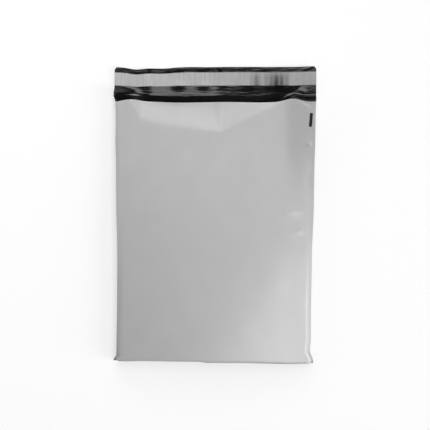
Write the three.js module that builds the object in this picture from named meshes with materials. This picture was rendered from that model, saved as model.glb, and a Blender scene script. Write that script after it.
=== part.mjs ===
// A grey poly mailer, lying on its back with its mouth unsealed and its lip spread out flat.
// One web of film, grey outside and black inside, is folded at the bottom and welded along both sides.
// Millimetres: +X across the bag, +Y from the bottom fold to the lip, +Z up from the surface it lies on.
import * as THREE from "three";

const { clamp, degToRad, lerp, smoothstep } = THREE.MathUtils;

// The film, laid flat
const flatWidth = 230;
const pocketLength = 305;
const lipLength = 37.2;
const filmGauge = 0.07;
const weldWidth = 2;
const lipCornerRadius = 3;

// The strip that closes the bag, measured from the free edge of the lip
const linerInset = 6.1;
const linerWidth = 15;
const linerGauge = 0.05;
const adhesiveWidth = 11;
const adhesiveThickness = 0.1;
const seatClearance = 0.02;

// The printed eye mark beside the right weld
const markGap = 0.65;
const markWidth = 3.5;
const markLength = 15.6;
const markFromMouth = 13;

// How far the front is puffed out: it falls evenly from the bottom end to a flat part by the mouth
const endHeight = 15;
const endCrown = 7.5;
const mouthHeight = 11;
const mouthCrown = -0.6;
const noseRun = 5;
const puffStart = 10;
const puffSoftness = 8;
const puffReach = 0.85;

// The bottom fold, which ends in a flat ear at each side
const foldHeight = 10;
const foldPower = 5;
const leftEar = 9.5;
const rightEar = 15;
const earPower = 24;
const sideBlend = 60;

// The shoulders beside the welds, which fade out along the bag, and the drooping fins of the welds
const shoulderDrop = 1.3;
const shoulderRun = 5;
const leftShoulderReach = [0.2, 0.66];
const rightShoulderReach = [0.37, 0.51];
const finSlope = 0.2;

// The back, which rounds up to the welds
const backRun = 28;
const leftChestRun = 38;
const rightChestRun = 60;
const chestReach = [0.41, 0.64];
const openRun = 75;

// The right-hand corner of the mouth, bent up along a soft fold line
const flapWidth = 34;
const flapSlope = 0.32;
const flapLipSlope = 0.1;
const flapSoftness = 3;
const flapLength = 100;
const flapFullLength = 25;

// The slack facet that slopes down to the mouth: place across, as a share of the half width, and depth
const droopLine = [
  [-0.85, 0],
  [-0.74, 19],
  [-0.62, 23],
  [0.08, 34],
  [0.5, 8],
  [0.71, 0],
];
const droopSlope = 0.24;
const droopSoftness = 1;
const droopFade = 6;
const droopRun = 36;

// The lower right of the front turns down a little more, past a slanting line
const facetAcross = 92;
const facetAlong = 99;
const facetTurn = 42;
const facetSlope = 0.035;
const facetSoftness = 2.5;

// Waves of the mouth's edge: place across, as a share of the half width, spread and reach
const mouthWaves = [
  [-0.83, 14, 2.6],
  [-0.35, 30, -0.9],
  [0.43, 18, -0.8],
  [0.78, 15, 3.4],
];

// The lip: a pressed ridge just past the mouth that fades to the right, then shallow ripples
const ridgeFromMouth = 6.5;
const ridgeHeight = 1.2;
const ridgeFade = 80;
const rippleHeight = 0.5;
const ripplePitch = 54;
const lipEdgeShare = 0.15;

// Fineness of the grid
const noseSteps = 6;
const earSteps = 3;
const bodySteps = 11;
const mouthSteps = 3;
const lipSteps = 3;
const panelSteps = 10;

const filmHalf = flatWidth / 2 - weldWidth;
const bump = (x, centre, spread) => Math.exp(-(((x - centre) / spread) ** 2));
const rounded = (t, power) => (1 - (1 - clamp(t, 0, 1)) ** 2) ** power;
const ramp = (value, low, high) => clamp((value - low) / (high - low), 0, 1);

// Zero before 0 and a straight ramp after it, with a soft corner
const hinge = (value, softness) =>
  Math.max(0, value) + softness * Math.log1p(Math.exp(-Math.abs(value) / softness));

// Height of a line of joined points at one place
function onLine(points, at) {
  const next = points.findIndex(([place]) => place > at);
  if (next < 1) {
    return points.at(next)[1];
  }
  const [from, to] = [points[next - 1], points[next]];
  return lerp(from[1], to[1], ramp(at, from[0], to[0]));
}

// Length of the curve height(t) from 0 to end, which is the film's length along it
function arcLength(height, end) {
  const steps = 400;
  let length = 0;
  for (let k = 0; k < steps; k++) {
    const from = (end * k) / steps;
    const to = (end * (k + 1)) / steps;
    length += Math.hypot(to - from, height(to) - height(from));
  }
  return length;
}

// The plan length at which the longest of the curves has used up a given length of film
function planLength(film, ...curvesFor) {
  let end = film;
  for (let pass = 0; pass < 8; pass++) {
    end += film - Math.max(...curvesFor.map((curveFor) => arcLength(curveFor(end), end)));
  }
  return end;
}

// Heights below take x across the bag, d along it from the bottom fold, the half width between the welds
// and the plan distance from the fold to the mouth.

const opening = (d, mouth) => smoothstep(d, mouth - openRun, mouth);
const within = (d, mouth, [from, to]) => smoothstep(d, from * mouth, to * mouth);
const bySide = (x, left, right) => lerp(left, right, smoothstep(x, -sideBlend, sideBlend));
const ear = (x, d) => smoothstep(d, 0, bySide(x, leftEar, rightEar));

// How much of a shoulder the front has above each weld
function shoulder(x, d, mouth) {
  return 1 - bySide(x, within(d, mouth, leftShoulderReach), within(d, mouth, rightShoulderReach));
}

// Share of the way from the puffed end to the flat part by the mouth
function along(d, mouth) {
  const end = puffReach * mouth;
  return 1 - hinge(end - Math.max(d, puffStart), puffSoftness) / (end - puffStart);
}

// How far the lower right of the front is let down past its slanting line
function facetFall(x, d) {
  const turn = degToRad(facetTurn);
  const past = (x - facetAcross) * Math.cos(turn) - (d - facetAlong) * Math.sin(turn);
  return facetSlope * hinge(past, facetSoftness);
}

// Height of the front beside its welds, without the shoulders
function panelEdge(x, d, mouth) {
  return lerp(endHeight, mouthHeight, along(d, mouth)) - facetFall(x, d);
}

// Height of the weld and of the fold, where front and back meet: the two bottom ears lie on the surface
function seamHeight(x, d, half, mouth) {
  const fold = filmGauge + foldHeight * (1 - Math.min(1, Math.abs(x / half)) ** foldPower);
  const fin = finSlope * Math.max(0, Math.abs(x) - half);
  const weld = panelEdge(x, d, mouth) - filmGauge - (shoulderDrop + fin) * shoulder(x, d, mouth);
  return lerp(fold, weld, ear(x, d));
}

// How much of the puff a place of the front has: none at the welds and the fold
function frontShare(x, d, half) {
  const edge = smoothstep(half - Math.abs(x), 0, shoulderRun);
  const corner = Math.min(1, Math.abs(x / half)) ** earPower;
  return edge * lerp(rounded(d / noseRun, 0.5), ear(x, d), corner);
}

// Outer face of the front panel without its slack facet
function frontForm(x, d, half, mouth) {
  const crown = lerp(endCrown, mouthCrown, along(d, mouth)) * (1 - (x / half) ** 2);
  const seam = seamHeight(x, d, half, mouth) + filmGauge;
  return lerp(seam, panelEdge(x, d, mouth) + crown, frontShare(x, d, half));
}

// How far the slack facet lets the front down
function droop(x, d, mouth) {
  const depth = onLine(droopLine, x / filmHalf);
  const into = hinge(depth - (mouth - d), droopSoftness);
  return droopSlope * into * (1 - into / (2 * droopRun)) * smoothstep(depth, 0, droopFade);
}

function creasedForm(x, d, half, mouth) {
  return frontForm(x, d, half, mouth) - droop(x, d, mouth) * frontShare(x, d, half);
}

// Outer face of the back panel, flat on the surface away from its edges
function backForm(x, d, half, mouth) {
  const fromWeld = Math.max(0, half - Math.abs(x));
  const chestRun = bySide(x, leftChestRun, rightChestRun);
  const run = lerp(backRun, chestRun, within(d, mouth, chestReach));
  const flat = rounded(fromWeld / run, lerp(0.5, 1, opening(d, mouth))) * rounded(d / noseRun, 0.5);
  return (seamHeight(x, d, half, mouth) - filmGauge) * (1 - flat);
}

const mouthAt = planLength(pocketLength, (end) => (d) => creasedForm(0, d, filmHalf, end));
const lipEnd = planLength(pocketLength + lipLength, () => (d) => backForm(0, d, filmHalf, mouthAt));
const ridgeAt = mouthAt + ridgeFromMouth;
const linerHigh = lipEnd - linerInset;
const linerLow = linerHigh - linerWidth;
const adhesiveLow = linerLow + (linerWidth - adhesiveWidth) / 2;
const adhesiveHigh = adhesiveLow + adhesiveWidth;

// Height that the bent-up corner adds to the weld, both panels and the lip
function flap(x, d) {
  const inPocket = flapSlope * smoothstep(d, mouthAt - flapLength, mouthAt - flapFullLength);
  const slope = lerp(inPocket, flapLipSlope, smoothstep(d, mouthAt, linerLow));
  return slope * hinge(x - flatWidth / 2 + flapWidth, flapSoftness);
}

// Half width between the welds at one side: the film doesn't stretch, so a fuller section draws its sides in,
// and the ears flare out again to the bottom fold. The back is slack under the bent-up corner.
function halfWidth(d, side) {
  const drawnIn = (at) => {
    const front = (end) => (x) => frontForm(side * x, at, end, mouthAt) + flap(side * x, at);
    const back = (end) => (x) => backForm(side * x, at, end, mouthAt);
    return planLength(filmHalf, front, back);
  };
  const earLength = bySide(side * filmHalf, leftEar, rightEar);
  if (d < earLength) {
    return lerp(drawnIn(0), drawnIn(earLength), smoothstep(d, 0, earLength));
  }
  return lerp(drawnIn(Math.min(d, mouthAt)), filmHalf, smoothstep(d, mouthAt, ridgeAt));
}

// How far the lip stands up from the surface
function lipHeight(x, d) {
  const height = ridgeHeight * (1 - smoothstep(x, 0, ridgeFade));
  const ridge = Math.min(ramp(d, mouthAt, ridgeAt), 1 - ramp(d, ridgeAt, linerLow));
  const wave = 0.5 - 0.5 * Math.cos((2 * Math.PI * x) / ripplePitch);
  return height * ridge + rippleHeight * wave * smoothstep(d, ridgeAt, lipEnd);
}

const frontHeight = (x, d, half) => creasedForm(x, d, half, mouthAt) + flap(x, d);
const weldHeight = (x, d, half) => seamHeight(x, d, half, mouthAt) + flap(x, d);

// Underside of the back web, from the fold to the free edge of the lip
function webHeight(x, d, half) {
  const pocket = backForm(x, Math.min(d, mouthAt), half, mouthAt);
  const edgeShare = lerp(1, lipEdgeShare, smoothstep(d, mouthAt, linerLow));
  return pocket * edgeShare + lipHeight(x, d) + flap(x, d);
}

// Plan position along the bag: the mouth's edge and the corners of the lip aren't straight across
function planY(x, d, reach) {
  const near = opening(d, mouthAt) * (1 - smoothstep(d, mouthAt, linerLow));
  const wave = mouthWaves.reduce((sum, [at, spread, out]) => sum + out * bump(x, at * filmHalf, spread), 0);
  const fromEdge = Math.min(lipCornerRadius, reach - Math.abs(x));
  const corner = lipCornerRadius * (1 - rounded(fromEdge / lipCornerRadius, 0.5));
  const last = smoothstep(d, linerHigh, lipEnd);
  return d - lipEnd / 2 + near * wave - last * corner;
}

// Evenly spaced values after from, up to and including to
function steps(from, to, count) {
  return Array.from({ length: count }, (_, k) => lerp(from, to, (k + 1) / count));
}

const markHigh = mouthAt - markFromMouth;
const markLow = markHigh - markLength;
const noseRows = steps(0, 1, noseSteps).map((t) => noseRun * t * t);
const bodyRows = [...steps(noseRun, rightEar, earSteps), ...steps(rightEar, markLow, bodySteps)];
const mouthRows = [...steps(markLow, markHigh, mouthSteps), ...steps(markHigh, mouthAt, mouthSteps)];
const pocketRows = [0, ...noseRows, ...bodyRows, ...mouthRows];
const ridgeRows = [...steps(mouthAt, ridgeAt, lipSteps), ...steps(ridgeAt, linerLow, lipSteps)];
const stripRows = [adhesiveLow, (adhesiveLow + adhesiveHigh) / 2, adhesiveHigh, linerHigh];
const lipRows = [...ridgeRows, ...stripRows, ...steps(linerHigh, lipEnd, 2)];

// Places across one side of a row: the open panel, both sides of the mark, the weld line and the edge
function acrossSide(half) {
  const markOuter = half - markGap;
  const markInner = markOuter - markWidth;
  const panel = steps(0, 1, panelSteps).map((t) => (markInner * (t + Math.sin((Math.PI / 2) * t))) / 2);
  return [...panel, markOuter, half, half + weldWidth];
}

// A row of points across the bag at one height function
function rowOf(d, height) {
  const [left, right] = [halfWidth(d, -1), halfWidth(d, 1)];
  const point = (x, half) => new THREE.Vector3(x, planY(x, d, half + weldWidth), height(x, d, half));
  const leftPoints = acrossSide(left).map((x) => point(-x, left));
  return [...leftPoints.reverse(), point(0, right), ...acrossSide(right).map((x) => point(x, right))];
}

const frontRow = (d) => rowOf(d, frontHeight);
const seamRow = (d) => rowOf(d, weldHeight);
const backRow = (d) => rowOf(d, webHeight);

// A grid of points moved along its own normals
function offsetGrid(rows, distance) {
  return rows.map((row, j) =>
    row.map((point, i) => {
      const left = row[Math.max(i - 1, 0)];
      const right = row[Math.min(i + 1, row.length - 1)];
      const below = rows[Math.max(j - 1, 0)][i];
      const above = rows[Math.min(j + 1, rows.length - 1)][i];
      const across = right.clone().sub(left);
      const normal = above.clone().sub(below).cross(across).negate().normalize();
      return point.clone().addScaledVector(normal, distance);
    }),
  );
}

const lifted = (rows, height) => rows.map((row) => row.map((p) => p.clone().setZ(p.z + height)));
const column = (rows, i) => rows.map((row) => row.at(i));

// Adds a grid of points to a skin as triangles that face up, or down when turned
function addGrid(skin, rows, finishAt, turned = false) {
  for (let j = 0; j + 1 < rows.length; j++) {
    for (let i = 0; i + 1 < rows[j].length; i++) {
      const [a, b] = [rows[j][i], rows[j][i + 1]];
      const [d, c] = [rows[j + 1][i], rows[j + 1][i + 1]];
      const corners = turned ? [a, c, b, a, d, c] : [a, b, c, a, c, d];
      skin[finishAt(j, i)].push(...corners);
    }
  }
}

function meshOf(name, skin, materials) {
  const geometry = new THREE.BufferGeometry().setFromPoints(skin.flat());
  let start = 0;
  skin.forEach((points, finish) => {
    geometry.addGroup(start, points.length, finish);
    start += points.length;
  });
  geometry.computeVertexNormals();
  const mesh = new THREE.Mesh(geometry, materials);
  mesh.name = name;
  return mesh;
}

const greyFilm = new THREE.MeshStandardMaterial({ color: 0xb8b8b8, roughness: 0.42, metalness: 0 });
const blackFilm = new THREE.MeshStandardMaterial({ color: 0x151515, roughness: 0.3, metalness: 0 });
const markInk = new THREE.MeshStandardMaterial({ color: 0x0b0b0b, roughness: 0.5, metalness: 0 });
const hotMelt = new THREE.MeshStandardMaterial({ color: 0xd8d4c6, roughness: 0.5, metalness: 0 });
const linerFilm = new THREE.MeshStandardMaterial({ color: 0xb2b2b2, roughness: 0.35, metalness: 0 });

// The bag: outer and inner faces of both panels, closed along the welds, the fold, the mouth and the lip
function makeBag() {
  const skin = [[], [], []];
  const outside = () => 0;
  const inside = () => 1;
  const front = pocketRows.map(frontRow);
  const web = [...pocketRows, ...lipRows].map(backRow);
  const seam = pocketRows.map(seamRow);
  const mouthRow = pocketRows.length - 1;
  const markColumn = front[0].length - 4;

  // The inner faces meet along the weld lines and along the inside of the fold
  const innerFold = seamRow(filmGauge);
  function lining(rows, distance) {
    return offsetGrid(rows, distance).map((row, j) =>
      j === 0 ? innerFold.slice(1, -1) : [seam[j].at(1), ...row.slice(2, -2), seam[j].at(-2)],
    );
  }
  const innerFront = lining(front, -filmGauge);
  const innerBack = lining(web.slice(0, mouthRow + 1), filmGauge);
  const lipFaces = lifted(web.slice(mouthRow), filmGauge);
  const withEdges = (row) => [lipFaces[0].at(0), ...row, lipFaces[0].at(-1)];
  lipFaces[0] = withEdges(innerBack[mouthRow]);

  const printed = (j, i) => i === markColumn && pocketRows[j] >= markLow && pocketRows[j] < markHigh;
  addGrid(skin, front, (j, i) => (printed(j, i) ? 2 : 0));
  addGrid(skin, web, outside, true);
  addGrid(skin, innerFront, inside, true);
  addGrid(skin, innerBack, inside);
  addGrid(skin, lipFaces, inside);
  addGrid(skin, [withEdges(innerFront[mouthRow]), front[mouthRow]], outside, true);
  addGrid(skin, [web[0], seam[0], front[0]], outside);
  addGrid(skin, [web.at(-1), lipFaces.at(-1)], inside, true);
  for (const end of [0, -1]) {
    const lipEdge = [column(web.slice(mouthRow), end), column(lipFaces, end)];
    const weldEdge = [column(web.slice(0, mouthRow + 1), end), column(seam, end), column(front, end)];
    addGrid(skin, weldEdge, outside, end === 0);
    addGrid(skin, lipEdge, inside, end === 0);
  }
  return { bag: meshOf("bag", skin, [greyFilm, blackFilm, markInk]), lipFaces };
}

// A thin band that follows the lip between two distances from the fold
function makeBand(name, lipFaces, low, high, above, thickness, material) {
  const onLip = lipFaces.filter((_, j) => {
    const d = [mouthAt, ...lipRows][j];
    return d >= low && d <= high;
  });
  const under = lifted(onLip, above);
  const over = lifted(under, thickness);
  const skin = [[]];
  const finish = () => 0;
  addGrid(skin, over, finish);
  addGrid(skin, under, finish, true);
  addGrid(skin, [under[0], over[0]], finish);
  addGrid(skin, [under.at(-1), over.at(-1)], finish, true);
  addGrid(skin, [column(under, 0), column(over, 0)], finish, true);
  addGrid(skin, [column(under, -1), column(over, -1)], finish);
  return meshOf(name, skin, [material]);
}

const { bag, lipFaces } = makeBag();
const linerSeat = 2 * seatClearance + adhesiveThickness;
const mailer = new THREE.Group();
mailer.name = "poly_mailer";
mailer.add(bag);
mailer.add(
  makeBand("adhesive_strip", lipFaces, adhesiveLow, adhesiveHigh, seatClearance, adhesiveThickness, hotMelt),
);
mailer.add(makeBand("release_liner", lipFaces, linerLow, linerHigh, linerSeat, linerGauge, linerFilm));

export default mailer;
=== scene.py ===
import math

import bmesh
import bpy
import numpy as np
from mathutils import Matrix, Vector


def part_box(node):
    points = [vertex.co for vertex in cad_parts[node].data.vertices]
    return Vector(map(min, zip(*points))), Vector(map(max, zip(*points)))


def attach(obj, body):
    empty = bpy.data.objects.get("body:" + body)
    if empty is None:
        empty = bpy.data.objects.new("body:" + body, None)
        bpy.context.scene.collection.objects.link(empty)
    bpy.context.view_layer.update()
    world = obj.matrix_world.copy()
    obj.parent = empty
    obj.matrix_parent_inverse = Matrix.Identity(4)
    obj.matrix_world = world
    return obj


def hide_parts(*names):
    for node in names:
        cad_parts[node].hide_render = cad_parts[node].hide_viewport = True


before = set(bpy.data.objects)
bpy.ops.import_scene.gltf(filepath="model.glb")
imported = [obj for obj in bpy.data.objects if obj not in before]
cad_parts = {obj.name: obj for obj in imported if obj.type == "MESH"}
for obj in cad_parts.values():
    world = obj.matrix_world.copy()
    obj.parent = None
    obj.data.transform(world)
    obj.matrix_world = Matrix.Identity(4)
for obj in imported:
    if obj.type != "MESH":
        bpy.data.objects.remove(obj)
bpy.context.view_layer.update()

MM = 0.001
FLAT_MAP = "flat_film"

# Places that the frame gives; distances along the bag are from its bottom fold
BAG_LOW, BAG_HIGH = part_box("bag")
LINER_LOW, LINER_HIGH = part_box("release_liner")
GLUE_LOW, GLUE_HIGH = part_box("adhesive_strip")
FLAT_HALF = BAG_HIGH.x
FOLD_Y = BAG_LOW.y
LIP_END = BAG_HIGH.y - FOLD_Y
LINER_START, LINER_END = LINER_LOW.y - FOLD_Y, LINER_HIGH.y - FOLD_Y
GLUE_START, GLUE_END = GLUE_LOW.y - FOLD_Y, GLUE_HIGH.y - FOLD_Y

# The film, and the strip that lies on it
FILM = 0.07 * MM
WELD = 2 * MM
LIP_CORNER = 3 * MM
MOUTH = LINER_START - 18.9 * MM
CREASE = MOUTH + 7.3 * MM
GLUE_GAP = 0.02 * MM
GLUE_THICKNESS = 0.1 * MM
LINER_GAP = 0.04 * MM
LINER_GAUGE = 0.05 * MM

# How far the bag is puffed out, from the bottom fold to the mouth
PUFF_START = 10 * MM
PUFF_END = 250 * MM
PUFF_SOFTNESS = 8 * MM
PUFF_POWER = 1.25
END_TOP = 15 * MM
MOUTH_TOP = 11 * MM
END_CROWN = 7.5 * MM
MOUTH_CROWN = -0.6 * MM
MIDDLE = 60 * MM
OPEN_RUN = 75 * MM
# Power that makes a rounded profile a quarter of an ellipse
ARC = 0.5

# The bottom fold, which ends in a flat ear at each side
FOLD_HEIGHT = 10 * MM
FOLD_POWER = 5
NOSE_RUN = 3.2 * MM
LEFT_EAR = 9.5 * MM
RIGHT_EAR = 15 * MM
RIGHT_EAR_FLARE = 0.9 * MM
EAR_POWER = 60
FOLD_REACH = 40 * MM
FOLD_KINK = 1.2 * MM
FOLD_KINK_RISE = (-105 * MM, -75 * MM)
FOLD_KINK_FALL = (-16 * MM, -6 * MM)
FOLD_DROP = 1.4 * MM
FOLD_DROP_RUN = (30 * MM, 95 * MM)

# The shoulders beside the welds, the fins of the welds, and the back that rounds up to them
SHOULDER_RUN = 5 * MM
LEFT_SHOULDER_DROP = 1.7 * MM
RIGHT_SHOULDER_DROP = 0.95 * MM
LEFT_SHOULDER = (10 * MM, 150 * MM)
RIGHT_SHOULDER = (110 * MM, 150 * MM)
LEFT_FIN_SLOPE = 0.7
RIGHT_FIN_SLOPE = 0.2
BACK_RUN = 28 * MM
LEFT_CHEST_RUN = 38 * MM
RIGHT_CHEST_RUN = 60 * MM
CHEST = (120 * MM, 190 * MM)
LIP_SLACK = 0.4 * MM
# Each stretch where creases draw a side in further: place along, spread and depth, in mm
LEFT_SLACK = ((276, 20, 0.9), (85, 80, 0.8))
RIGHT_SLACK = ((272, 28, 1.2), (16, 7, 1.2), (55, 40, 0.5), (145, 60, -0.6))

# The lower right of the front, which turns a little more to the side past a slanting line
FACET_ACROSS = 86 * MM
FACET_ALONG = 107 * MM
FACET_TURN = math.radians(42)
FACET_SLOPE = 0.036
FACET_SOFTNESS = 5 * MM

# The right-hand corner of the mouth, bent up along a soft fold line
FLAP_FOLD = 81 * MM
FLAP_SOFTNESS = 3 * MM
FLAP_SLOPE = 0.4
FLAP_LIP_SLOPE = 0.03
FLAP_LIP_START = CREASE + 2 * MM
FLAP_START = 170 * MM
FLAP_FULL = 300 * MM
FLAP_EASE = 99 * MM
FLAP_EASED = 0.3

# The slack facet that slopes down to the mouth: its depth by place across, in mm
DROOP_LINE = ((-96, 0), (-84, 19), (-70, 22), (-39, 26), (9, 34), (30, 21.5), (57, 7), (80, 0))
DROOP_SLOPE = 0.26
DROOP_RUN = 36 * MM
DROOP_FADE = 6 * MM
LEFT_DROOP_SOFTNESS = 2.2 * MM
RIGHT_DROOP_SOFTNESS = 0.7 * MM
DROOP_SOFTNESS_RUN = (-25 * MM, 8 * MM)
EDGE_CURL = (-45 * MM, 30 * MM)
EDGE_CURL_DEPTH = 3.5 * MM
EDGE_CURL_SLOPE = 0.12

# The ridge that runs from the tip of the slack facet to the mouth, with runs as shares of its length
SPINE_START = 261 * MM
SPINE_ACROSS = (9.5 * MM, 5.5 * MM)
SPINE_LEFT_SPREAD = 5 * MM
SPINE_RIGHT_SPREAD = 10 * MM
SPINE_HEIGHT = 0.6 * MM
SPINE_TIP_WIDTH = 0.45
SPINE_WIDEN_RUN = 0.4
SPINE_RISE_RUN = 0.12

# The lip: it rises from the mouth to a crest, and falls from there to the strip by place across, in mm
CREST = 1.2 * MM
CREST_FALL = (
    (-105, 0), (-79, -0.5), (-71, 1.1), (-3, 1.1), (6, 0.45), (27, 0.25),
    (36, 0.1), (66, 0), (73, -0.3), (97, -0.3), (105, -0.75),
)
LIP_END_RISE = 3 * MM
LIP_END_SHARE = 0.12
LIP_EDGE_SHARE = 0.5
RIPPLE_PITCH = 54 * MM
RIPPLE_HEIGHT = 0.5 * MM
# The bent-up end at the right: where it starts at the crest, how far it slants, and how much more it falls
END_FACET = (78 * MM, 85 * MM)
END_FACET_SLANT = 1.28
END_FACET_FALL = 0.6 * MM
END_FACET_FADE = 6 * MM
# Each scallop that hangs from the strip's lower edge: place across, width and rise, in mm
SCALLOPS = ((-42, 6.5, 1.0), (-13, 6.5, 0.9), (8, 6, 0.3), (39, 6, 0.4), (63, 6, 0.4), (78, 8, 1.0))
SCALLOP_REACH = 4.3 * MM
# Each crease of the lip: from and to, across and along from the mouth, then its width and height, in mm
LIP_CREASES = (
    (-113, 18, -104, 7, 2.2, 0.3), (-108, 9, -74, 9.2, 1.5, 0.22), (92, 16, 106, 9, 2.0, 0.3),
    (-55, 35, -53, 41, 2.0, 0.5), (-42, 35, -41, 41, 2.0, 0.5), (-15, 35, -14, 41, 2.0, 0.5),
    (5, 35, 6, 41, 1.5, 0.4), (56, 35, 57, 41, 2.0, 0.5), (98, 36, 112, 40, 1.5, 0.4),
)

# Each wave of a free edge: place across the bag, spread and reach, in mm
MOUTH_WAVES = (
    (-94, 11, 1.6), (-114, 8, -1.4), (87, 11, 3.6), (108, 10, -0.6), (-40, 30, -1.2), (50, 18, -0.5),
)
LIP_WAVES = ((-90, 14, -3.3), (-62, 16, -1.8), (-113, 8, -0.8))
LIP_WAVE_SHARE = 0.5
STRIP_WAVES = ((60, 70, 0.8), (112, 16, 1.2))

# Each dent of the front: place across and along, spreads left, right, to the fold and mouth, height, in mm
FRONT_DENTS = (
    (70, 122, 60, 28, 35, 40, 1.3),
    (96.5, 150, 7, 4, 4, 5, 0.95),
    (89, 172, 12, 9, 4.6, 6, 1.0),
    (107, 246.5, 6, 9, 1.2, 5, 0.5),
    (102, 224, 8, 6, 10, 6, 0.3),
    (107, 205, 6, 5, 8, 8, -0.4),
    (-60, 292, 16, 14, 14, 10, -0.6),
)
# Each crease of the front: from and to, across and along, then its width and height, in mm
FRONT_CREASES = (
    (-96, 293, -83, 274, 1.5, 0.3), (101, 248, 126, 243.5, 1.3, 0.8),
    (94, 294.5, 120, 289.5, 1.6, -0.8), (82, 164.6, 100, 165.4, 0.6, 0.3),
)

# Each deep wrinkle of the liner: place across, spread to the left and right, and height, in mm
LINER_WRINKLES = (
    (-36, 1.0, 1.4, 0.15), (-16, 0.9, 1.2, 0.15), (-6, 1.0, 1.3, 0.12), (13, 0.9, 1.2, 0.12),
    (30, 2.5, 1.0, 0.5), (50.5, 3.5, 0.9, 1.3), (64.5, 2.5, 0.8, 0.8), (72.5, 5.0, 0.9, 2.0),
    (77, 2.5, 0.8, 1.0), (81.5, 2.5, 1.0, 0.8),
)
WRINKLE_REACH = 10 * MM
WRINKLE_FADE = 0.9
# The fine wrinkles of the liner: how many, their spreads and heights in mm, and how they slant
FINE_WRINKLES = 110
FINE_SPREAD = (0.5, 1.6)
FINE_SLANT = (-0.15, 0.15)
FINE_HEIGHT = (0.01, 0.06)
WRINKLE_SEED = 7

# Fineness of the grids; each run of rows or columns has a start, an end and a step
NOSE_ROWS = 11
POCKET_RUNS = (
    (NOSE_RUN, RIGHT_EAR, 1.5 * MM),
    (RIGHT_EAR, 138 * MM, 4.4 * MM),
    (138 * MM, 161 * MM, 1.6 * MM),
    (161 * MM, 168 * MM, 0.45 * MM),
    (168 * MM, 175 * MM, 1.2 * MM),
    (175 * MM, 240 * MM, 3.3 * MM),
    (240 * MM, MOUTH, 1.2 * MM),
)
LIP_RUNS = (
    (MOUTH, CREASE, 0.6 * MM),
    (CREASE, LINER_START, 0.8 * MM),
    (LINER_START, LINER_END, 1.5 * MM),
    (LINER_END, LIP_END, 0.7 * MM),
)
# Columns are signed shares of the half width: close by the welds, the spine and the bent-up corner
COLUMN_RUNS = (
    (-1, -0.955, 0.006), (-0.955, -0.87, 0.02), (-0.87, -0.72, 0.011), (-0.72, -0.6, 0.02),
    (-0.6, -0.02, 0.035), (-0.02, 0.24, 0.01), (0.24, 0.6, 0.035), (0.6, 0.955, 0.0115),
    (0.955, 1, 0.006),
)
BAND_STEP = 1 * MM
BAND_COLUMNS = 461
SECTION_STEPS = 500
SECTION_ROUNDS = 6
MERGE_DISTANCE = 0.002 * MM
SHARP_ANGLE = math.radians(50)


def ramp(value, low, high):
    return np.clip((value - low) / (high - low), 0, 1)


def smoothstep(value, low, high):
    t = ramp(value, low, high)
    return t * t * (3 - 2 * t)


def lerp(a, b, t):
    return a + (b - a) * t


def bump(value, centre, spread):
    return np.exp(-(((value - centre) / spread) ** 2))


def uneven_bump(value, centre, before, after):
    return bump(value, centre, np.where(value < centre, before, after))


def rounded(t, power):
    return (1 - (1 - np.clip(t, 0, 1)) ** 2) ** power


def hinge(value, softness):
    """Zero before 0 and a straight ramp after it, with a soft corner."""
    return softness * np.logaddexp(0, value / softness)


def in_metres(table):
    return np.array(table) * MM


def waves(place, table):
    return sum(reach * bump(place, at, spread) for at, spread, reach in in_metres(table))


def crease(x, d, start, end, width, height):
    """A pressed line from one place to another, highest halfway."""
    run = np.subtract(end, start)
    length = math.hypot(*run)
    t = ((x - start[0]) * run[0] + (d - start[1]) * run[1]) / length ** 2
    off = ((x - start[0]) * run[1] - (d - start[1]) * run[0]) / length
    return height * bump(off, 0, width) * rounded(2 * np.minimum(t, 1 - t), 1)


def creases(x, d, table):
    total = 0
    for x0, d0, x1, d1, width, height in in_metres(table):
        total = total + crease(x, d, (x0, d0), (x1, d1), width, height)
    return total


# Shape of the film: x is across the bag, d along it from the bottom fold

def by_side(x, left, right):
    return lerp(left, right, smoothstep(x, -MIDDLE, MIDDLE))


def opening(d):
    return smoothstep(d, MOUTH - OPEN_RUN, MOUTH)


def ear(x, d):
    """Share of the puff that is left beside the flat ears at the ends of the fold."""
    return smoothstep(d, 0, by_side(x, LEFT_EAR, RIGHT_EAR))


def shoulder(x, d):
    """How much of a shoulder the front has above each weld: none towards the mouth."""
    return 1 - by_side(x, smoothstep(d, *LEFT_SHOULDER), smoothstep(d, *RIGHT_SHOULDER))


def along(d):
    """Share of the way from the puffed end to the flat part by the mouth."""
    left = hinge(PUFF_END - np.maximum(d, PUFF_START), PUFF_SOFTNESS)
    return np.maximum(0, 1 - left / (PUFF_END - PUFF_START)) ** PUFF_POWER


def lower_facet(x, d):
    past = (x - FACET_ACROSS) * math.cos(FACET_TURN) - (d - FACET_ALONG) * math.sin(FACET_TURN)
    return -FACET_SLOPE * hinge(past, FACET_SOFTNESS)


def flap(x, d):
    """The bent-up corner: it lifts the weld, both panels and the lip."""
    past = smoothstep(d, MOUTH, FLAP_LIP_START)
    slope = lerp(FLAP_SLOPE * smoothstep(d, FLAP_START, FLAP_FULL), FLAP_LIP_SLOPE, past)
    eased = FLAP_EASED * hinge(x - FLAP_EASE, FLAP_SOFTNESS)
    return slope * (hinge(x - FLAP_FOLD, FLAP_SOFTNESS) - eased)


def panel_edge(x, d):
    return lerp(END_TOP, MOUTH_TOP, along(d)) + lower_facet(x, d)


def seam_height(x, d, half):
    """Height of the welds and of the fold, where front and back meet."""
    fold = FILM + FOLD_HEIGHT * (1 - np.minimum(1, np.abs(x / half)) ** FOLD_POWER)
    fin = by_side(x, LEFT_FIN_SLOPE, RIGHT_FIN_SLOPE) * np.maximum(0, np.abs(x) - half)
    drop = by_side(x, LEFT_SHOULDER_DROP, RIGHT_SHOULDER_DROP)
    weld = panel_edge(x, d) - FILM - (drop + fin) * shoulder(x, d)
    return lerp(fold, weld, ear(x, d))


def seam_line(x, d, half):
    return seam_height(x, d, half) + flap(x, d)


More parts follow.
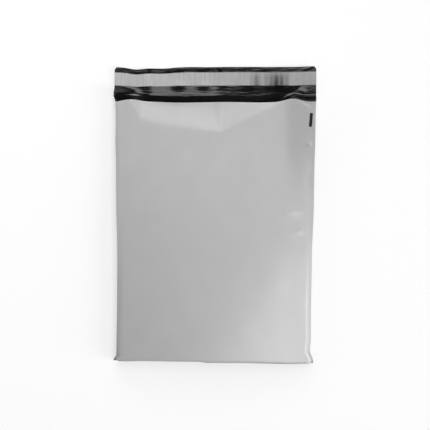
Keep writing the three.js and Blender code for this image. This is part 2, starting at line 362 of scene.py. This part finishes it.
def front_share(x, d, half):
    """How much of the puff a place of the front has: none at the welds and the fold."""
    edge = smoothstep(half - np.abs(x), 0, SHOULDER_RUN)
    corner = np.minimum(1, np.abs(x / half)) ** EAR_POWER
    return edge * lerp(rounded(d / NOSE_RUN, ARC), ear(x, d), corner)


def front_form(x, d, half):
    """The puffed front without its creases."""
    crown = lerp(END_CROWN, MOUTH_CROWN, along(d)) * (1 - (x / half) ** 2)
    seam = seam_height(x, d, half) + FILM
    return lerp(seam, panel_edge(x, d) + crown, front_share(x, d, half))


def mouth_droop(x, d):
    """The slack facet by the mouth, with an edge that curls up a little."""
    places, depths = in_metres(DROOP_LINE).T
    depth = np.interp(x, places, depths)
    softness = lerp(LEFT_DROOP_SOFTNESS, RIGHT_DROOP_SOFTNESS, smoothstep(x, *DROOP_SOFTNESS_RUN))
    into = hinge(depth - (MOUTH - d), softness)
    fall = DROOP_SLOPE * into * (1 - into / (2 * DROOP_RUN)) * smoothstep(depth, 0, DROOP_FADE)
    curl = hinge(d - MOUTH + EDGE_CURL_DEPTH, RIGHT_DROOP_SOFTNESS) * bump(x, *EDGE_CURL)
    return EDGE_CURL_SLOPE * curl - fall


def spine(x, d):
    t = ramp(d, SPINE_START, MOUTH)
    width = lerp(SPINE_TIP_WIDTH, 1, smoothstep(t, 0, SPINE_WIDEN_RUN))
    centre = lerp(*SPINE_ACROSS, t)
    shape = uneven_bump(x, centre, SPINE_LEFT_SPREAD * width, SPINE_RIGHT_SPREAD * width)
    return SPINE_HEIGHT * shape * width * smoothstep(t, 0, SPINE_RISE_RUN)


def front_dents(x, d):
    total = 0
    for at, up, left, right, fold, mouth, height in in_metres(FRONT_DENTS):
        total = total + height * uneven_bump(x, at, left, right) * uneven_bump(d, up, fold, mouth)
    return total


def front_height(x, d, half):
    relief = mouth_droop(x, d) + spine(x, d) + front_dents(x, d) + creases(x, d, FRONT_CREASES)
    return front_form(x, d, half) + relief * front_share(x, d, half) + flap(x, d)


def back_form(x, d, half):
    """The back panel: flat on the ground, and rounded up to the welds and the fold."""
    from_weld = np.maximum(0, half - np.abs(x))
    run = lerp(BACK_RUN, by_side(x, LEFT_CHEST_RUN, RIGHT_CHEST_RUN), smoothstep(d, *CHEST))
    flat = rounded(from_weld / run, lerp(ARC, 1, opening(d))) * rounded(d / NOSE_RUN, ARC)
    return (seam_height(x, d, half) - FILM) * (1 - flat)


def lip_height(x, d):
    """The lip's own relief: its crest, the fall to the strip, its scallops, creases and slow ripple."""
    places, falls = in_metres(CREST_FALL).T
    past_end = x - END_FACET_SLANT * np.maximum(0, d - CREASE)
    facet = END_FACET_FALL * smoothstep(past_end, *END_FACET)
    facet = facet * (1 - smoothstep(d, LINER_START, LINER_START + END_FACET_FADE))
    fall = (np.interp(x, places, falls) + facet) * ramp(d, CREASE, LINER_START)
    hang = waves(x, SCALLOPS) * bump(d, LINER_START, SCALLOP_REACH)
    lifted = CREST * ramp(d, MOUTH, CREASE) - fall + hang + creases(x, d - MOUTH, LIP_CREASES)
    ripple = (1 - np.cos(2 * math.pi * x / RIPPLE_PITCH)) / 2
    return np.maximum(0, lifted) + RIPPLE_HEIGHT * ripple * smoothstep(d, CREASE, LIP_END)


def web_height(x, d, half):
    """Underside of the back panel and of the lip that it runs on into."""
    pocket = back_form(x, np.minimum(d, MOUTH), half)
    left = pocket * lerp(1, LIP_END_SHARE, smoothstep(d, CREASE, LINER_START))
    plateau = LIP_END_RISE * (1 - np.exp(-pocket / LIP_END_RISE))
    kept = plateau * lerp(1, LIP_EDGE_SHARE, smoothstep(d, CREASE, LIP_END))
    right = lerp(pocket, kept, smoothstep(d, MOUTH, CREASE))
    return by_side(x, left, right) + lip_height(x, d) + flap(x, d)


def drawn_in(d, side):
    """Plan distance from the middle to one weld: a fuller section draws its sides in."""
    film = FLAT_HALF - WELD
    rows = d[:, None]
    share = np.linspace(0, side, SECTION_STEPS)[None, :]
    half = np.full((len(d), 1), film)
    for _ in range(SECTION_ROUNDS):
        x = share * half
        paths = []
        for z in (front_form(x, rows, half) + flap(x, rows), back_form(x, rows, half)):
            paths.append(np.hypot(np.diff(x, axis=1), np.diff(z, axis=1)).sum(axis=1, keepdims=True))
        half = half + film - np.maximum(*paths)
    return half


def half_width(d, side):
    """The half width at one side: the ears flare out to the fold, and the creases take up a little."""
    left = side < 0
    ear_length = LEFT_EAR if left else RIGHT_EAR
    at_fold, at_ear = drawn_in(np.array([0, ear_length]), side)
    at_fold = at_fold + (0 if left else RIGHT_EAR_FLARE)
    rows = np.minimum(d, MOUTH)[:, None]
    flared = lerp(at_fold, at_ear, smoothstep(rows, 0, ear_length))
    half = np.where(rows < ear_length, flared, drawn_in(np.clip(d, ear_length, MOUTH), side))
    half = half - waves(rows, LEFT_SLACK if left else RIGHT_SLACK) * smoothstep(rows, 0, ear_length)
    return lerp(half, FLAT_HALF - WELD - LIP_SLACK, smoothstep(d, MOUTH, CREASE)[:, None])


def plan_y(x, d, reach):
    """Place along the bag, with the waves of the mouth, of the lip and of the bottom fold."""
    near_mouth = opening(d) * (1 - smoothstep(d, MOUTH, LINER_START))
    on_lip = smoothstep(d, CREASE, LINER_START)
    to_edge = lerp(LIP_WAVE_SHARE, 1, smoothstep(d, LINER_START, LIP_END))
    lip = to_edge * waves(x, LIP_WAVES) + waves(x, STRIP_WAVES)
    kink = FOLD_KINK * (smoothstep(x, *FOLD_KINK_RISE) - smoothstep(x, *FOLD_KINK_FALL))
    kink = kink - FOLD_DROP * smoothstep(x, *FOLD_DROP_RUN)
    near_fold = 1 - smoothstep(d, 0, FOLD_REACH)
    from_edge = np.minimum(LIP_CORNER, reach - np.abs(x))
    corner = LIP_CORNER * (1 - rounded(from_edge / LIP_CORNER, ARC)) * smoothstep(d, LINER_END, LIP_END)
    return FOLD_Y + d + near_mouth * waves(x, MOUTH_WAVES) + on_lip * lip - corner + near_fold * kink


# Grids of points on the film

def stepped(first, runs):
    """Places from the first ones on, run by run."""
    places = [first]
    for low, high, step in runs:
        count = max(1, round((high - low) / step))
        places.append(np.linspace(low, high, count + 1)[1:])
    return np.concatenate(places)


POCKET_ROWS = stepped(NOSE_RUN * np.linspace(0, 1, NOSE_ROWS) ** 2, POCKET_RUNS)
LIP_ROWS = stepped([], LIP_RUNS)
COLUMNS = stepped([-1.0], COLUMN_RUNS)


def across(d, shares):
    """Plan places at shares of the half width, with the half width that each one has."""
    half = np.where(shares < 0, half_width(d, -1), half_width(d, 1))
    return shares * half, half


def film_grid(d, height):
    """Points of one face of the film, a row for each d, from side edge to side edge."""
    x, half = across(d, COLUMNS[None, :])
    x = np.concatenate([x[:, :1] - WELD, x, x[:, -1:] + WELD], axis=1)
    half = np.concatenate([half[:, :1], half, half[:, -1:]], axis=1)
    rows = np.broadcast_to(d[:, None], x.shape)
    return np.stack([x, plan_y(x, rows, half + WELD), height(x, rows, half)], axis=-1)


def offset(points, distance):
    """The grid moved along its own normals."""
    normal = np.cross(np.gradient(points, axis=1), np.gradient(points, axis=0))
    return points + distance * normal / np.linalg.norm(normal, axis=-1, keepdims=True)


def flat_places(points, sign):
    """Where each grid point lies on the flat film: across from the middle, and along from the fold."""
    steps = np.linalg.norm(np.diff(points, axis=1), axis=-1)
    run = np.concatenate([np.zeros((len(points), 1)), np.cumsum(steps, axis=1)], axis=1)
    crosswise = FLAT_HALF * (2 * run / run[:, -1:] - 1)
    middle = points[:, np.argmin(np.abs(points[0, :, 0]))]
    lengths = np.linalg.norm(np.diff(middle, axis=0), axis=-1)
    lengthwise = sign * np.concatenate([[0], np.cumsum(lengths)])
    return np.stack([crosswise, np.broadcast_to(lengthwise[:, None], crosswise.shape)], axis=-1)


def link(name, data):
    made = bpy.data.objects.new(name, data)
    bpy.context.scene.collection.objects.link(made)
    return made


class Skin:
    """A closed surface that is collected grid by grid."""

    def __init__(self):
        self.points = []
        self.quads = []
        self.flat = []
        self.finish = []
        self.count = 0

    def add(self, points, finish=0, turned=False, flat=None):
        rows, width = points.shape[:2]
        index = self.count + np.arange(rows * width).reshape(rows, width)
        corners = [index[:-1, :-1], index[:-1, 1:], index[1:, 1:], index[1:, :-1]]
        quads = np.stack(corners[::-1] if turned else corners, axis=-1).reshape(-1, 4)
        self.points.append(points.reshape(-1, 3))
        self.flat.append((points[..., :2] if flat is None else flat).reshape(-1, 2))
        self.quads.append(quads)
        self.finish.append(np.full(len(quads), finish))
        self.count += rows * width

    def object(self, name, materials):
        mesh = bpy.data.meshes.new(name)
        quads = np.concatenate(self.quads)
        mesh.from_pydata(np.concatenate(self.points).tolist(), [], quads.tolist())
        mesh.polygons.foreach_set("material_index", np.concatenate(self.finish).astype(np.int32))
        layer = mesh.uv_layers.new(name=FLAT_MAP)
        layer.data.foreach_set("uv", np.concatenate(self.flat)[quads.ravel()].ravel().astype(np.float32))
        merged = bmesh.new()
        merged.from_mesh(mesh)
        bmesh.ops.remove_doubles(merged, verts=merged.verts, dist=MERGE_DISTANCE)
        merged.to_mesh(mesh)
        merged.free()
        mesh.polygons.foreach_set("use_smooth", np.ones(len(mesh.polygons), bool))
        mesh.set_sharp_from_angle(angle=SHARP_ANGLE)
        for material in materials:
            mesh.materials.append(material)
        return link(name, mesh)


# Materials: sizes on the flat film are across and along it

NOISE_LOW, NOISE_HIGH = 0.3, 0.7
STREAKS = (4 * MM, 60 * MM)
STREAK_DETAIL = 2
CLOUDS = (22 * MM, 30 * MM)
CLOUD_DETAIL = 3

# The grey outside: its colours, roughness, gloss and soft unevenness
OUTSIDE_GREY = (0.388, 0.406)
OUTSIDE_ROUGH = (0.36, 0.42)
OUTSIDE_SPECULAR = 0.75
OUTSIDE_BUMP = 0.06
OUTSIDE_BUMP_DEPTH = 1 * MM
# Painted shade along the bottom fold, and a painted highlight along the mouth's edge
FOLD_SHADE_RUN = (8 * MM, 12.5 * MM)
FOLD_PAINTED_SHADE = 0.62
MOUTH_HIGHLIGHT_INSETS = (1.1 * MM, 0.6 * MM)
MOUTH_EDGE_HIGHLIGHT = 1.14
# Painted shade beside the left weld, which is darkest by the bottom fold
LEFT_PAINTED_SHADE_BAND = 5.5 * MM
LEFT_PAINTED_SHADE_RUN = (10 * MM, 60 * MM)
LEFT_PAINTED_SHADE_DEPTH = (0.34, 0.11)
# Painted highlight on the right shoulder, which fades out along the bag
RIGHT_HIGHLIGHT_BAND = 3.6 * MM
RIGHT_HIGHLIGHT_INSET = 5.2 * MM
RIGHT_HIGHLIGHT_RUN = (85 * MM, 150 * MM)
RIGHT_HIGHLIGHT_GAIN = 0.3
# The printed mark: one plain black oblong by the right weld
MARK_CENTRE = (109.7 * MM, 284.9 * MM, 0)
MARK_SIZE = (3.5 * MM, 15.6 * MM, 1)
MARK_TURN = math.radians(-3.5)
INK_GREY = 0.004

# The black inside, with fine wrinkles along the lip
INSIDE_GREY = (0.0025, 0.004)
INSIDE_ROUGH = (0.16, 0.19)
INSIDE_SPECULAR = 0.43
INSIDE_WRINKLES = (16 * MM, 2.6 * MM)
INSIDE_BUMP = 0.5
INSIDE_BUMP_DEPTH = 0.4 * MM

# The liner: cross streaks, and painted shade that darkens it towards its right end
LINER_GREY = (0.335, 0.435)
LINER_ROUGH = (0.36, 0.46)
LINER_STREAKS = (2.2 * MM, 40 * MM)
LINER_BUMP = 0.12
LINER_BUMP_DEPTH = 0.4 * MM
LINER_SHADE_RUN = (-60 * MM, 100 * MM)
LINER_SHADE_END = 0.68
# Each painted shade in the hollow of a wrinkle: place across and half width in mm, and how much darker it
# is
HOLLOWS = (
    (41.5, 4, 0.25), (47, 7, 0.62), (58.3, 4.5, 0.4), (64, 6, 0.66), (69.6, 8, 0.92), (75.3, 6, 0.82),
    (81, 4.5, 0.5),
)
HOLLOW_FADE = (LINER_START + 9 * MM, LINER_START + 16 * MM)
HOLLOW_END_SHARE = 0.15

# The milky glue
GLUE_GREY = (0.6, 0.7)
GLUE_ROUGH = (0.4, 0.6)
GLUE_CLOUDS = (3 * MM, 3 * MM)


def new_material(name):
    material = bpy.data.materials.new(name)
    material.use_nodes = True
    tree = material.node_tree
    return material, tree, tree.nodes["Principled BSDF"]


def put(tree, socket, value):
    """Feed a socket from another one, or set it to a constant."""
    if isinstance(value, bpy.types.NodeSocket):
        tree.links.new(value, socket)
    else:
        socket.default_value = value


def calculate(tree, operation, *values):
    """A number worked out from sockets and constants."""
    node = tree.nodes.new("ShaderNodeMath")
    node.operation = operation
    for socket, value in zip(node.inputs, values):
        put(tree, socket, value)
    return node.outputs["Value"]


def to_range(tree, value, low, high, from_low=NOISE_LOW, from_high=NOISE_HIGH):
    node = tree.nodes.new("ShaderNodeMapRange")
    put(tree, node.inputs["Value"], value)
    put(tree, node.inputs["From Min"], from_low)
    put(tree, node.inputs["From Max"], from_high)
    put(tree, node.inputs["To Min"], low)
    put(tree, node.inputs["To Max"], high)
    return node.outputs["Result"]


def axis_of(tree, vector, axis):
    node = tree.nodes.new("ShaderNodeSeparateXYZ")
    put(tree, node.inputs["Vector"], vector)
    return node.outputs[axis]


def flat_film(tree, scale=(1, 1, 1), centre=(0, 0, 0), turn=0):
    """Places on the flat film, in metres from a centre, turned and scaled."""
    flat = tree.nodes.new("ShaderNodeUVMap")
    flat.uv_map = FLAT_MAP
    mapping = tree.nodes.new("ShaderNodeMapping")
    mapping.vector_type = "TEXTURE"
    put(tree, mapping.inputs["Location"], centre)
    put(tree, mapping.inputs["Rotation"], (0, 0, turn))
    put(tree, mapping.inputs["Scale"], scale)
    put(tree, mapping.inputs["Vector"], flat.outputs["UV"])
    return mapping.outputs["Vector"]


def grain(tree, size, detail):
    """Noise on the flat film with cells of about one size across and along."""
    node = tree.nodes.new("ShaderNodeTexNoise")
    put(tree, node.inputs["Scale"], 1)
    put(tree, node.inputs["Detail"], detail)
    put(tree, node.inputs["Vector"], flat_film(tree, (*size, 1)))
    return node.outputs["Fac"]


def grey(level):
    return (level, level, level, 1)


def mixed(tree, factor, first, second, blend="MIX"):
    node = tree.nodes.new("ShaderNodeMix")
    node.data_type = "RGBA"
    node.blend_type = blend
    put(tree, node.inputs["Factor"], factor)
    put(tree, node.inputs["A"], first)
    put(tree, node.inputs["B"], second)
    return node.outputs["Result"]


def grey_between(tree, value, low, high):
    return mixed(tree, to_range(tree, value, 0, 1), grey(low), grey(high))


def shaded(tree, colour, share):
    """A colour multiplied by a share."""
    return mixed(tree, 1, colour, share, "MULTIPLY")


def add_bump(tree, shader, height, strength, distance):
    node = tree.nodes.new("ShaderNodeBump")
    put(tree, node.inputs["Strength"], strength)
    put(tree, node.inputs["Distance"], distance)
    put(tree, node.inputs["Height"], height)
    put(tree, shader.inputs["Normal"], node.outputs["Normal"])


def film_material(name, greys, roughness, specular):
    """Blown film: clouds in its colour, and streaks along it in its gloss."""
    material, tree, shader = new_material(name)
    put(tree, shader.inputs["Specular IOR Level"], specular)
    colour = grey_between(tree, grain(tree, CLOUDS, CLOUD_DETAIL), *greys)
    put(tree, shader.inputs["Base Color"], colour)
    put(tree, shader.inputs["Roughness"], to_range(tree, grain(tree, STREAKS, STREAK_DETAIL), *roughness))
    return material, tree, shader, colour


# Painted shade: a darker band beside the left weld, deepest by the bottom fold
def left_painted_shade(tree, crosswise, from_fold):
    band = to_range(tree, crosswise, 1, 0, -FLAT_HALF, LEFT_PAINTED_SHADE_BAND - FLAT_HALF)
    depth = to_range(tree, from_fold, *LEFT_PAINTED_SHADE_DEPTH, *LEFT_PAINTED_SHADE_RUN)
    return calculate(tree, "SUBTRACT", 1, calculate(tree, "MULTIPLY", band, depth))


# Painted highlight: a paler band on the right shoulder, fading out along the bag
def right_painted_highlight(tree, crosswise, from_fold):
    aside = calculate(tree, "SUBTRACT", crosswise, FLAT_HALF - RIGHT_HIGHLIGHT_INSET)
    band = to_range(tree, calculate(tree, "ABSOLUTE", aside), RIGHT_HIGHLIGHT_GAIN, 0, 0, RIGHT_HIGHLIGHT_BAND)
    fade = to_range(tree, from_fold, 1, 0, *RIGHT_HIGHLIGHT_RUN)
    return calculate(tree, "ADD", 1, calculate(tree, "MULTIPLY", band, fade))


def printed_mark(tree):
    """One inside the mark, and zero elsewhere."""
    place = flat_film(tree, MARK_SIZE, MARK_CENTRE, MARK_TURN)
    inside = [calculate(tree, "COMPARE", axis_of(tree, place, axis), 0, 1 / 2) for axis in ("X", "Y")]
    return calculate(tree, "MULTIPLY", *inside)


def outside_material(mouth_at):
    """Grey film with the printed mark, painted shade along the bottom fold and the left weld, and painted
    highlights on the right shoulder and along the mouth's edge.
    """
    material, tree, shader, colour = film_material(
        "film_outside", OUTSIDE_GREY, OUTSIDE_ROUGH, OUTSIDE_SPECULAR)
    place = flat_film(tree)
    crosswise, lengthwise = axis_of(tree, place, "X"), axis_of(tree, place, "Y")
    from_fold = calculate(tree, "ABSOLUTE", lengthwise)
    by_mouth = [mouth_at - inset for inset in MOUTH_HIGHLIGHT_INSETS]
    # Painted shade: the film darkens towards the bottom fold
    colour = shaded(tree, colour, to_range(tree, from_fold, FOLD_PAINTED_SHADE, 1, *FOLD_SHADE_RUN))
    # Painted shade: a darker band beside the left weld
    colour = shaded(tree, colour, left_painted_shade(tree, crosswise, from_fold))
    # Painted highlight: a paler band on the right shoulder
    colour = shaded(tree, colour, right_painted_highlight(tree, crosswise, from_fold))
    # Painted highlight: a paler line along the mouth's edge
    colour = shaded(tree, colour, to_range(tree, lengthwise, 1, MOUTH_EDGE_HIGHLIGHT, *by_mouth))
    put(tree, shader.inputs["Base Color"], mixed(tree, printed_mark(tree), colour, grey(INK_GREY)))
    add_bump(tree, shader, grain(tree, CLOUDS, CLOUD_DETAIL), OUTSIDE_BUMP, OUTSIDE_BUMP_DEPTH)
    return material


def inside_material():
    """Black film with a gloss that is broken by fine wrinkles."""
    material, tree, shader, _ = film_material("film_inside", INSIDE_GREY, INSIDE_ROUGH, INSIDE_SPECULAR)
    add_bump(tree, shader, grain(tree, INSIDE_WRINKLES, STREAK_DETAIL), INSIDE_BUMP, INSIDE_BUMP_DEPTH)
    return material


def hollow_shade(tree, place):
    """How much light is left in the hollows that run up from the strip's lower edge."""
    crosswise, lengthwise = axis_of(tree, place, "X"), axis_of(tree, place, "Y")
    lost = 0
    for at, half, depth in HOLLOWS:
        aside = calculate(tree, "SUBTRACT", crosswise, at * MM)
        hollow = to_range(tree, calculate(tree, "ABSOLUTE", aside), depth, 0, 0, half * MM)
        lost = calculate(tree, "MAXIMUM", lost, hollow)
    reach = to_range(tree, lengthwise, 1, HOLLOW_END_SHARE, *HOLLOW_FADE)
    return calculate(tree, "SUBTRACT", 1, calculate(tree, "MULTIPLY", lost, reach))


def liner_material():
    """Grey strip with cross streaks, painted shade in a few wrinkle hollows, and painted shade towards its
    right end.
    """
    material, tree, shader = new_material("liner_film")
    streaks = grain(tree, LINER_STREAKS, CLOUD_DETAIL)
    place = flat_film(tree)
    # Painted shade: the strip darkens towards its right end
    side = to_range(tree, axis_of(tree, place, "X"), 1, LINER_SHADE_END, *LINER_SHADE_RUN)
    colour = shaded(tree, grey_between(tree, streaks, *LINER_GREY), side)
    # Painted shade in the wrinkle hollows
    put(tree, shader.inputs["Base Color"], shaded(tree, colour, hollow_shade(tree, place)))
    put(tree, shader.inputs["Roughness"], to_range(tree, streaks, *LINER_ROUGH))
    add_bump(tree, shader, streaks, LINER_BUMP, LINER_BUMP_DEPTH)
    return material


def glue_material():
    material, tree, shader = new_material("hot_melt")
    cloud = grain(tree, GLUE_CLOUDS, CLOUD_DETAIL)
    put(tree, shader.inputs["Base Color"], grey_between(tree, cloud, *GLUE_GREY))
    put(tree, shader.inputs["Roughness"], to_range(tree, cloud, *GLUE_ROUGH))
    return material


# Pieces

def make_bag():
    """The web of film: both panels and their linings, the lip, and the rims that close them."""
    skin = Skin()
    outside, inside = 0, 1
    front = film_grid(POCKET_ROWS, front_height)
    web = film_grid(np.concatenate([POCKET_ROWS, LIP_ROWS]), web_height)
    seam = film_grid(POCKET_ROWS, seam_line)
    first_inside = film_grid(np.array([FILM]), seam_line)[0]
    mouth = len(POCKET_ROWS) - 1
    front_flat = flat_places(front, 1)
    web_flat = flat_places(web, -1)

    def lining(points, distance):
        moved = offset(points, distance)
        moved[:, 1] = seam[:, 1]
        moved[:, -2] = seam[:, -2]
        moved[0] = first_inside
        return moved[:, 1:-1]

    inner_front = lining(front, -FILM)
    inner_back = lining(web[: mouth + 1], FILM)
    lip = web[mouth:] + np.array([0, 0, FILM])
    lip[0, 1:-1] = inner_back[mouth]
    mouth_inner = lip[0].copy()
    mouth_inner[1:-1] = inner_front[mouth]

    skin.add(front, outside, flat=front_flat)
    skin.add(web, outside, turned=True, flat=web_flat)
    skin.add(inner_front, inside, turned=True, flat=front_flat[:, 1:-1])
    skin.add(inner_back, inside, flat=web_flat[: mouth + 1, 1:-1])
    skin.add(lip, inside, flat=web_flat[mouth:])
    skin.add(np.stack([mouth_inner, front[mouth]]), outside, turned=True)
    skin.add(np.stack([web[0], seam[0], front[0]]), outside)
    skin.add(np.stack([web[-1], lip[-1]]), inside, turned=True)
    for side in (0, -1):
        weld_edge = np.stack([web[: mouth + 1, side], seam[:, side], front[:, side]])
        skin.add(weld_edge, outside, turned=side == 0)
        skin.add(np.stack([web[mouth:, side], lip[:, side]]), inside, turned=side == 0)
    return skin.object("bag_film", [outside_material(front_flat[mouth, 0, 1]), inside_material()])


def liner_wrinkles(x, d):
    """Cross wrinkles of the strip: a few deep ones from its lower edge, and fine ones all along."""
    rng = np.random.default_rng(WRINKLE_SEED)
    height = np.zeros(x.shape)
    for at, left, right, rise in in_metres(LINER_WRINKLES):
        height = height + rise * uneven_bump(x, at, left, right)
    height = height * (1 - WRINKLE_FADE * smoothstep(d, LINER_START, LINER_START + WRINKLE_REACH))
    for _ in range(FINE_WRINKLES):
        centre = rng.uniform(-FLAT_HALF, FLAT_HALF)
        spread = rng.uniform(*FINE_SPREAD) * MM
        slant = rng.uniform(*FINE_SLANT)
        rise = rng.uniform(*FINE_HEIGHT) * MM
        height = height + rise * bump(x - slant * (d - LINER_START), centre, spread)
    return height


def make_band(name, start, end, above, thickness, material, wrinkle=None):
    """A thin closed band that follows the lip's upper face."""
    rows = stepped([start], [(start, end, BAND_STEP)])
    x, half = across(rows, np.linspace(-1, 1, BAND_COLUMNS)[None, :])
    x = x * (half + WELD) / half
    d = np.broadcast_to(rows[:, None], x.shape)
    under = np.stack([x, plan_y(x, d, half + WELD), web_height(x, d, half) + FILM + above], axis=-1)
    if wrinkle is not None:
        under[..., 2] += wrinkle(x, d)
    over = under + np.array([0, 0, thickness])
    flat = np.stack([x, d], axis=-1)
    skin = Skin()
    skin.add(over, flat=flat)
    skin.add(under, turned=True, flat=flat)
    skin.add(np.stack([under[0], over[0]]))
    skin.add(np.stack([under[-1], over[-1]]), turned=True)
    skin.add(np.stack([under[:, 0], over[:, 0]]), turned=True)
    skin.add(np.stack([under[:, -1], over[:, -1]]))
    return skin.object(name, [material])


bag = make_bag()
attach(bag, "root")
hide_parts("bag")

glue = make_band("adhesive_band", GLUE_START, GLUE_END, GLUE_GAP, GLUE_THICKNESS, glue_material())
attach(glue, "root")
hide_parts("adhesive_strip")

liner_above = GLUE_GAP + GLUE_THICKNESS + LINER_GAP
liner = make_band("release_liner_film", LINER_START, LINER_END, liner_above, LINER_GAUGE,
                  liner_material(), liner_wrinkles)
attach(liner, "root")
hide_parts("release_liner")


# Stage

FLOOR_REACH = 6.0
FLOOR_BELOW = 0.1 * MM
# The floor's colour across it is painted shade, darker to the right, that evens out the low key's brighter
# light there
FLOOR_SHADE = (0.946, 0.79)
FLOOR_SHADE_RUN = (-0.24, 0.24)
FLOOR_ROUGHNESS = 0.9
FLOOR_GLOW = 0.54
FLOOR_GLOW_STRENGTH = 1.0
# The world's strength below and above, by the share of the way up
WORLD_LEVELS = (0.8, 0.04)
WORLD_RUN = (0.0, 0.5)
LAMP_DISTANCE = 1.7
# Each lamp: angles from +Z and +X in degrees, size in metres, radiance, and whether gloss shows it
LAMPS = {
    "low_key": ((72, -18), (0.8, 1.2), 8.6, False),
    "top_softbox": ((31, 90), (0.8, 0.8), 4.5, True),
    "front_softbox": ((27, -37), (0.6, 0.6), 8.5, True),
    "back_light": ((65, 95), (1.2, 0.8), 4.1, False),
    "left_fill": ((70, 180), (0.8, 1.2), 2.2, False),
}
CAMERA_SENSOR = 36
CAMERA_VIEW = math.radians(27.59)
CAMERA_PLACE = (0.0, 0.0059, 1.0)
CAMERA_TURN_DEGREES = (-0.377, -0.048, 0.468)


def floor_material():
    """A pale floor that looks white to the camera and in gloss, and keeps the shadow."""
    material, tree, shader = new_material("white_floor")
    place = tree.nodes.new("ShaderNodeTexCoord")
    # Painted shade: the floor's colour darkens towards the right, against the low key's brighter light
    shade = to_range(tree, axis_of(tree, place.outputs["Object"], "X"), *FLOOR_SHADE, *FLOOR_SHADE_RUN)
    put(tree, shader.inputs["Base Color"], shade)
    put(tree, shader.inputs["Roughness"], FLOOR_ROUGHNESS)
    put(tree, shader.inputs["Specular IOR Level"], 0)
    path = tree.nodes.new("ShaderNodeLightPath")
    seen = path.outputs["Is Camera Ray"]
    for ray in ("Is Glossy Ray", "Is Transmission Ray"):
        seen = calculate(tree, "MAXIMUM", seen, path.outputs[ray])
    glow = tree.nodes.new("ShaderNodeEmission")
    put(tree, glow.inputs["Strength"], FLOOR_GLOW_STRENGTH)
    mix = tree.nodes.new("ShaderNodeMixShader")
    put(tree, mix.inputs["Fac"], calculate(tree, "MULTIPLY", seen, FLOOR_GLOW))
    put(tree, mix.inputs[1], shader.outputs["BSDF"])
    put(tree, mix.inputs[2], glow.outputs["Emission"])
    put(tree, tree.nodes["Material Output"].inputs["Surface"], mix.outputs["Shader"])
    return material


def make_floor():
    mesh = bpy.data.meshes.new("floor")
    plan = ((-1, -1), (1, -1), (1, 1), (-1, 1))
    corners = [(x * FLOOR_REACH, y * FLOOR_REACH, -FLOOR_BELOW) for x, y in plan]
    mesh.from_pydata(corners, [], [(0, 1, 2, 3)])
    mesh.materials.append(floor_material())
    link("floor", mesh)


def make_world():
    world = bpy.data.worlds.new("studio")
    world.use_nodes = True
    tree = world.node_tree
    place = tree.nodes.new("ShaderNodeTexCoord")
    height = axis_of(tree, place.outputs["Generated"], "Z")
    background = tree.nodes["Background"]
    put(tree, background.inputs["Color"], grey(1))
    put(tree, background.inputs["Strength"], to_range(tree, height, *WORLD_LEVELS, *WORLD_RUN))
    bpy.context.scene.world = world


def around(zenith, azimuth):
    """A lamp's place on a dome over the object."""
    z, a = math.radians(zenith), math.radians(azimuth)
    toward = (math.sin(z) * math.cos(a), math.sin(z) * math.sin(a), math.cos(z))
    return [LAMP_DISTANCE * part for part in toward]


def add_lamp(name, angles, size, radiance, mirrored):
    """A lamp that faces the object, unseen by the camera."""
    light = bpy.data.lights.new(name, "AREA")
    light.shape = "RECTANGLE"
    light.size, light.size_y = size
    light.energy = math.pi * radiance * size[0] * size[1]
    lamp = link(name, light)
    lamp.location = around(*angles)
    lamp.rotation_euler = (-lamp.location).to_track_quat("-Z", "Y").to_euler()
    lamp.visible_camera = False
    lamp.visible_glossy = mirrored


def make_camera():
    data = bpy.data.cameras.new("camera")
    data.sensor_width = CAMERA_SENSOR
    data.lens = CAMERA_SENSOR / 2 / math.tan(CAMERA_VIEW / 2)
    camera = link("camera", data)
    camera.location = CAMERA_PLACE
    camera.rotation_euler = [math.radians(angle) for angle in CAMERA_TURN_DEGREES]
    bpy.context.scene.camera = camera


make_floor()
make_world()
for lamp_name, settings in LAMPS.items():
    add_lamp(lamp_name, *settings)
make_camera()
bpy.context.scene.view_settings.view_transform = "Standard"
